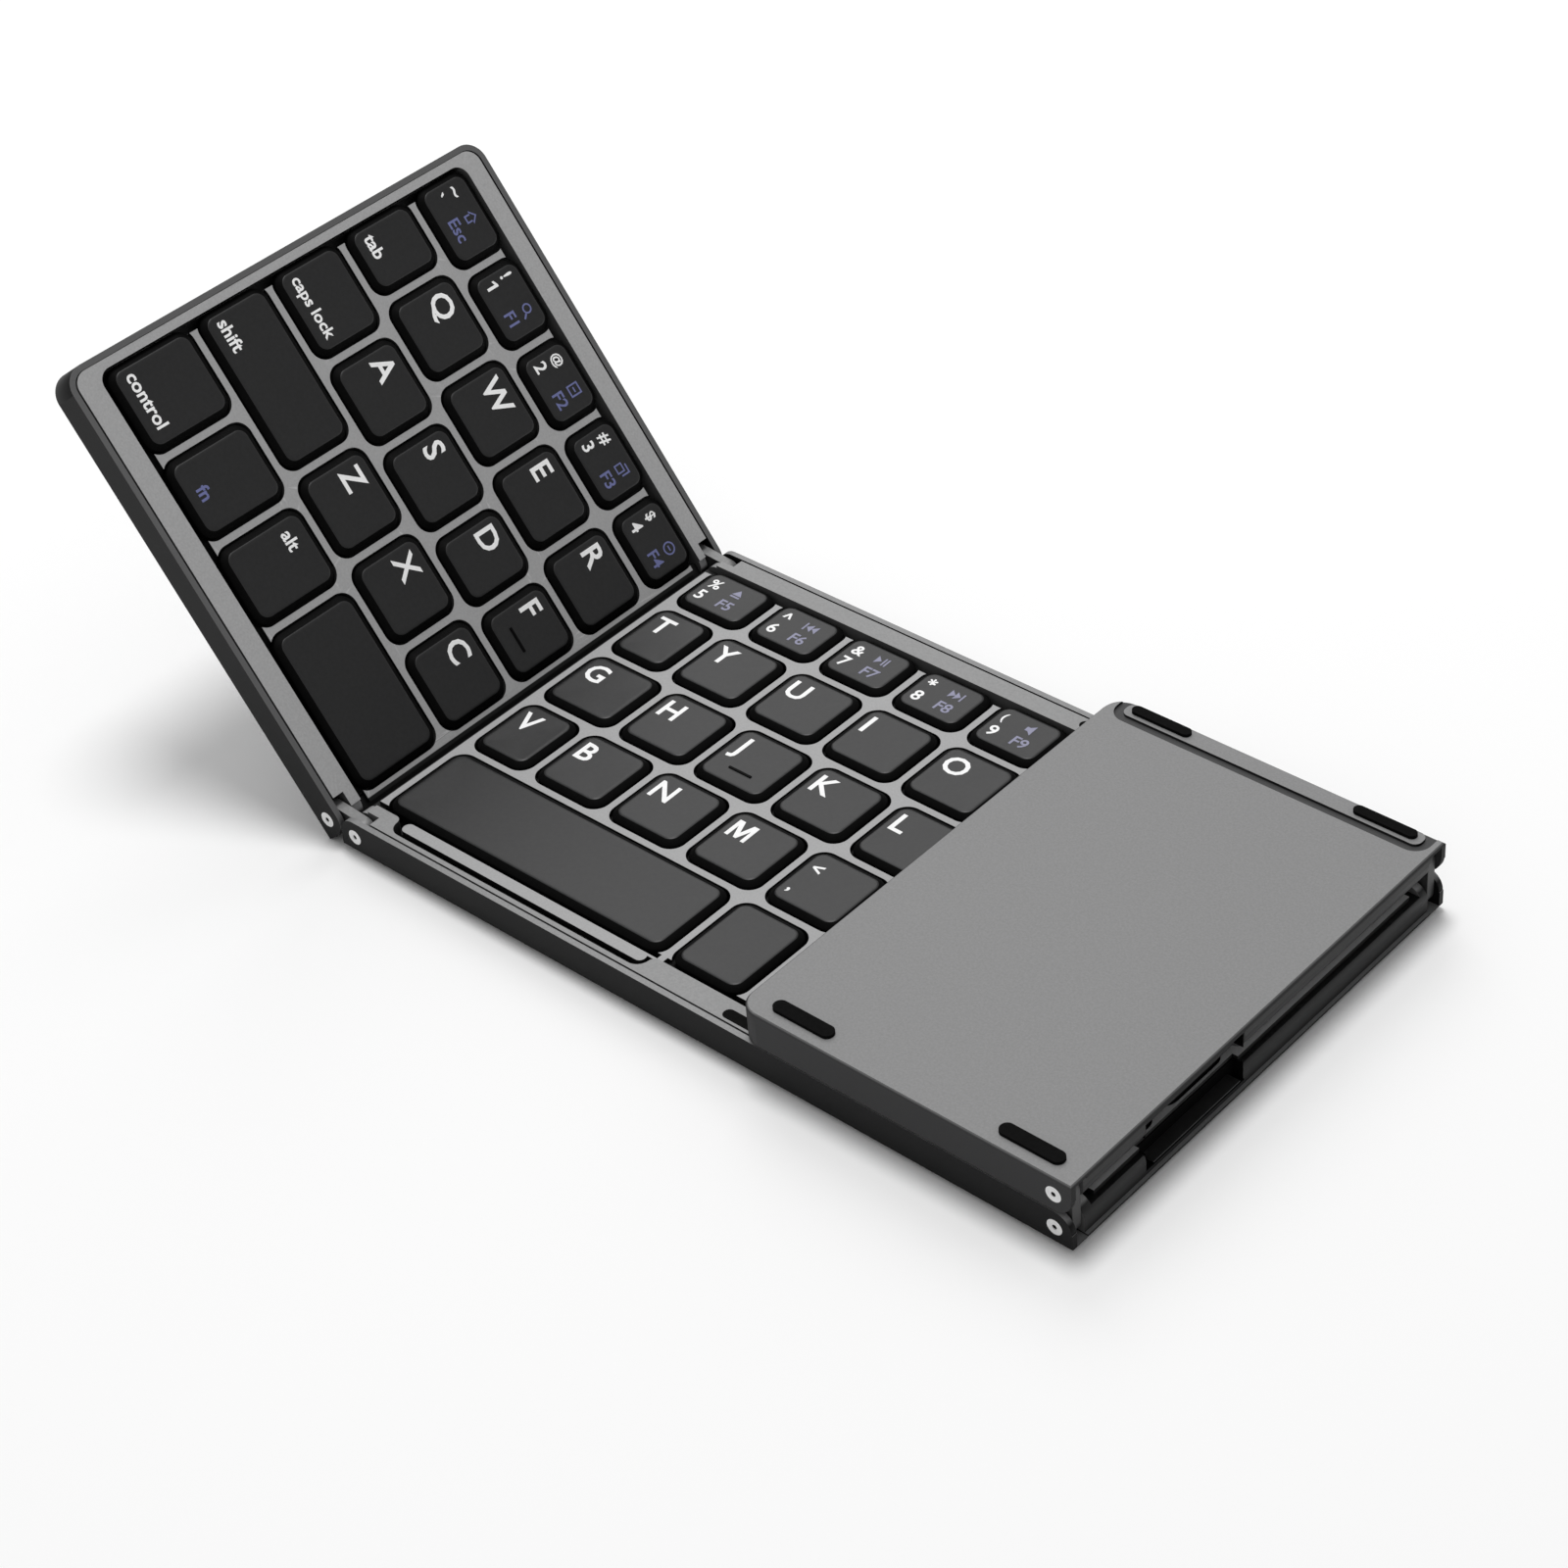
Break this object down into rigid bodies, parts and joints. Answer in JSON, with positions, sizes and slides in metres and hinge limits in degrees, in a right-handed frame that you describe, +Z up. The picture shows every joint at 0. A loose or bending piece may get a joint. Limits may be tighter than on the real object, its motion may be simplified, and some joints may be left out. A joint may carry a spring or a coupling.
{
  "type": "folding keyboard",
  "caption": "Three-panel folding keyboard with linked double hinges, sprung keys and a touch panel, shown half open.",
  "frame": {"origin": "on the resting plane of the feet, under the middle of the half-open keyboard's outline", "axes": "+X from the middle panel towards the right hinge, +Y towards the rear, +Z up"},
  "size_m": [0.2156, 0.0976, 0.076],
  "materials": {
    "metal_shell": "fine matt dark grey anodised",
    "bezel_plastic": "fine matt mid grey",
    "web_plastic": "fine matt mid grey",
    "key_plastic": "satin near-black",
    "rubber": "black",
    "pin_steel": "turned bright",
    "link_steel": "matt grey",
    "plate_steel": "stamped",
    "support_plastic": "natural white",
    "board": "green solder mask",
    "cell": "foil pouch",
    "touch_plastic": "satin black",
    "socket_steel": "stamped"
  },
  "bodies": {
    "middle_panel": {"middle_shell": "metal_shell", "middle_frame": "bezel_plastic", "middle_web": "web_plastic", "middle_key_plate": "plate_steel", "middle_key_supports": "support_plastic", "middle_feet": "rubber", "middle_bumpers": "rubber", "middle_hinge_pins": "pin_steel", "ribbon_cable": "board"},
    "left_links": {"front_left_link": "link_steel", "rear_left_link": "link_steel"},
    "left_wing": {"left_shell": "metal_shell", "left_frame": "bezel_plastic", "left_web": "web_plastic", "left_key_plate": "plate_steel", "left_key_supports": "support_plastic", "left_feet": "rubber", "left_hinge_pins": "pin_steel"},
    "right_links": {"front_right_link": "link_steel", "rear_right_link": "link_steel"},
    "right_wing": {"right_shell": "metal_shell", "right_frame": "bezel_plastic", "touch_surface": "touch_plastic", "touch_board": "board", "battery": "cell", "main_board": "board", "charging_socket": "socket_steel", "right_feet": "rubber", "right_foot_rail": "metal_shell", "right_hinge_pins": "pin_steel"},
    "grave_key_body": {"grave_key": "key_plastic"},
    "one_key_body": {"one_key": "key_plastic"},
    "two_key_body": {"two_key": "key_plastic"},
    "three_key_body": {"three_key": "key_plastic"},
    "four_key_body": {"four_key": "key_plastic"},
    "tab_key_body": {"tab_key": "key_plastic"},
    "q_key_body": {"q_key": "key_plastic"},
    "w_key_body": {"w_key": "key_plastic"},
    "e_key_body": {"e_key": "key_plastic"},
    "r_key_body": {"r_key": "key_plastic"},
    "caps_lock_key_body": {"caps_lock_key": "key_plastic"},
    "a_key_body": {"a_key": "key_plastic"},
    "s_key_body": {"s_key": "key_plastic"},
    "d_key_body": {"d_key": "key_plastic"},
    "f_key_body": {"f_key": "key_plastic"},
    "left_shift_key_body": {"left_shift_key": "key_plastic"},
    "z_key_body": {"z_key": "key_plastic"},
    "x_key_body": {"x_key": "key_plastic"},
    "c_key_body": {"c_key": "key_plastic"},
    "control_key_body": {"control_key": "key_plastic"},
    "fn_key_body": {"fn_key": "key_plastic"},
    "alt_key_body": {"alt_key": "key_plastic"},
    "left_space_bar_body": {"left_space_bar": "key_plastic"},
    "space_bar_body": {"space_bar": "key_plastic"},
    "middle_number_keys_body": {"middle_number_keys": "key_plastic"},
    "middle_upper_keys_body": {"middle_upper_keys": "key_plastic"},
    "middle_home_keys_body": {"middle_home_keys": "key_plastic"},
    "enter_key_body": {"enter_key": "key_plastic"},
    "middle_lower_keys_body": {"middle_lower_keys": "key_plastic"},
    "middle_bottom_keys_body": {"middle_bottom_keys": "key_plastic"}
  },
  "joints": [
    {"name": "left_link_hinge", "type": "hinge", "parent": "middle_panel", "child": "left_links", "pos_m": [-0.04628, 0, 0.00385], "axis": [0, 1, 0], "range_deg": [-5, 85]},
    {"name": "left_wing_hinge", "type": "hinge", "parent": "left_links", "child": "left_wing", "pos_m": [-0.05306, 0, 0.00444], "axis": [0, 1, 0], "range_deg": [-48, 42]},
    {"name": "right_link_hinge", "type": "hinge", "parent": "middle_panel", "child": "right_links", "pos_m": [0.10447, 0, 0.00385], "axis": [0, -1, 0], "range_deg": [-90, 0]},
    {"name": "right_wing_hinge", "type": "hinge", "parent": "right_links", "child": "right_wing", "pos_m": [0.10447, 0, 0.01065], "axis": [0, -1, 0], "range_deg": [-90, 0]},
    {"name": "space_bar_press", "type": "slide", "parent": "middle_panel", "child": "space_bar_body", "axis": [0, 0, 1], "range_m": [-0.0012, 0], "stiffness_N_per_m": 300, "springref_m": 0.0004},
    {"name": "middle_number_keys_press", "type": "slide", "parent": "middle_panel", "child": "middle_number_keys_body", "axis": [0, 0, 1], "range_m": [-0.0012, 0], "stiffness_N_per_m": 2700, "springref_m": 0.0004},
    {"name": "middle_upper_keys_press", "type": "slide", "parent": "middle_panel", "child": "middle_upper_keys_body", "axis": [0, 0, 1], "range_m": [-0.0012, 0], "stiffness_N_per_m": 2700, "springref_m": 0.0004},
    {"name": "middle_home_keys_press", "type": "slide", "parent": "middle_panel", "child": "middle_home_keys_body", "axis": [0, 0, 1], "range_m": [-0.0012, 0], "stiffness_N_per_m": 2100, "springref_m": 0.0004},
    {"name": "enter_key_press", "type": "slide", "parent": "middle_panel", "child": "enter_key_body", "axis": [0, 0, 1], "range_m": [-0.0012, 0], "stiffness_N_per_m": 300, "springref_m": 0.0004},
    {"name": "middle_lower_keys_press", "type": "slide", "parent": "middle_panel", "child": "middle_lower_keys_body", "axis": [0, 0, 1], "range_m": [-0.0012, 0], "stiffness_N_per_m": 2400, "springref_m": 0.0004},
    {"name": "middle_bottom_keys_press", "type": "slide", "parent": "middle_panel", "child": "middle_bottom_keys_body", "axis": [0, 0, 1], "range_m": [-0.0012, 0], "stiffness_N_per_m": 1800, "springref_m": 0.0004},
    {"name": "grave_key_press", "type": "slide", "parent": "left_wing", "child": "grave_key_body", "axis": [0.7986, 0, 0.6018], "range_m": [-0.0012, 0], "stiffness_N_per_m": 300, "springref_m": 0.0004},
    {"name": "one_key_press", "type": "slide", "parent": "left_wing", "child": "one_key_body", "axis": [0.7986, 0, 0.6018], "range_m": [-0.0012, 0], "stiffness_N_per_m": 300, "springref_m": 0.0004},
    {"name": "two_key_press", "type": "slide", "parent": "left_wing", "child": "two_key_body", "axis": [0.7986, 0, 0.6018], "range_m": [-0.0012, 0], "stiffness_N_per_m": 300, "springref_m": 0.0004},
    {"name": "three_key_press", "type": "slide", "parent": "left_wing", "child": "three_key_body", "axis": [0.7986, 0, 0.6018], "range_m": [-0.0012, 0], "stiffness_N_per_m": 300, "springref_m": 0.0004},
    {"name": "four_key_press", "type": "slide", "parent": "left_wing", "child": "four_key_body", "axis": [0.7986, 0, 0.6018], "range_m": [-0.0012, 0], "stiffness_N_per_m": 300, "springref_m": 0.0004},
    {"name": "tab_key_press", "type": "slide", "parent": "left_wing", "child": "tab_key_body", "axis": [0.7986, 0, 0.6018], "range_m": [-0.0012, 0], "stiffness_N_per_m": 300, "springref_m": 0.0004},
    {"name": "q_key_press", "type": "slide", "parent": "left_wing", "child": "q_key_body", "axis": [0.7986, 0, 0.6018], "range_m": [-0.0012, 0], "stiffness_N_per_m": 300, "springref_m": 0.0004},
    {"name": "w_key_press", "type": "slide", "parent": "left_wing", "child": "w_key_body", "axis": [0.7986, 0, 0.6018], "range_m": [-0.0012, 0], "stiffness_N_per_m": 300, "springref_m": 0.0004},
    {"name": "e_key_press", "type": "slide", "parent": "left_wing", "child": "e_key_body", "axis": [0.7986, 0, 0.6018], "range_m": [-0.0012, 0], "stiffness_N_per_m": 300, "springref_m": 0.0004},
    {"name": "r_key_press", "type": "slide", "parent": "left_wing", "child": "r_key_body", "axis": [0.7986, 0, 0.6018], "range_m": [-0.0012, 0], "stiffness_N_per_m": 300, "springref_m": 0.0004},
    {"name": "caps_lock_key_press", "type": "slide", "parent": "left_wing", "child": "caps_lock_key_body", "axis": [0.7986, 0, 0.6018], "range_m": [-0.0012, 0], "stiffness_N_per_m": 300, "springref_m": 0.0004},
    {"name": "a_key_press", "type": "slide", "parent": "left_wing", "child": "a_key_body", "axis": [0.7986, 0, 0.6018], "range_m": [-0.0012, 0], "stiffness_N_per_m": 300, "springref_m": 0.0004},
    {"name": "s_key_press", "type": "slide", "parent": "left_wing", "child": "s_key_body", "axis": [0.7986, 0, 0.6018], "range_m": [-0.0012, 0], "stiffness_N_per_m": 300, "springref_m": 0.0004},
    {"name": "d_key_press", "type": "slide", "parent": "left_wing", "child": "d_key_body", "axis": [0.7986, 0, 0.6018], "range_m": [-0.0012, 0], "stiffness_N_per_m": 300, "springref_m": 0.0004},
    {"name": "f_key_press", "type": "slide", "parent": "left_wing", "child": "f_key_body", "axis": [0.7986, 0, 0.6018], "range_m": [-0.0012, 0], "stiffness_N_per_m": 300, "springref_m": 0.0004},
    {"name": "left_shift_key_press", "type": "slide", "parent": "left_wing", "child": "left_shift_key_body", "axis": [0.7986, 0, 0.6018], "range_m": [-0.0012, 0], "stiffness_N_per_m": 300, "springref_m": 0.0004},
    {"name": "z_key_press", "type": "slide", "parent": "left_wing", "child": "z_key_body", "axis": [0.7986, 0, 0.6018], "range_m": [-0.0012, 0], "stiffness_N_per_m": 300, "springref_m": 0.0004},
    {"name": "x_key_press", "type": "slide", "parent": "left_wing", "child": "x_key_body", "axis": [0.7986, 0, 0.6018], "range_m": [-0.0012, 0], "stiffness_N_per_m": 300, "springref_m": 0.0004},
    {"name": "c_key_press", "type": "slide", "parent": "left_wing", "child": "c_key_body", "axis": [0.7986, 0, 0.6018], "range_m": [-0.0012, 0], "stiffness_N_per_m": 300, "springref_m": 0.0004},
    {"name": "control_key_press", "type": "slide", "parent": "left_wing", "child": "control_key_body", "axis": [0.7986, 0, 0.6018], "range_m": [-0.0012, 0], "stiffness_N_per_m": 300, "springref_m": 0.0004},
    {"name": "fn_key_press", "type": "slide", "parent": "left_wing", "child": "fn_key_body", "axis": [0.7986, 0, 0.6018], "range_m": [-0.0012, 0], "stiffness_N_per_m": 300, "springref_m": 0.0004},
    {"name": "alt_key_press", "type": "slide", "parent": "left_wing", "child": "alt_key_body", "axis": [0.7986, 0, 0.6018], "range_m": [-0.0012, 0], "stiffness_N_per_m": 300, "springref_m": 0.0004},
    {"name": "left_space_bar_press", "type": "slide", "parent": "left_wing", "child": "left_space_bar_body", "axis": [0.7986, 0, 0.6018], "range_m": [-0.0012, 0], "stiffness_N_per_m": 300, "springref_m": 0.0004}
  ]
}
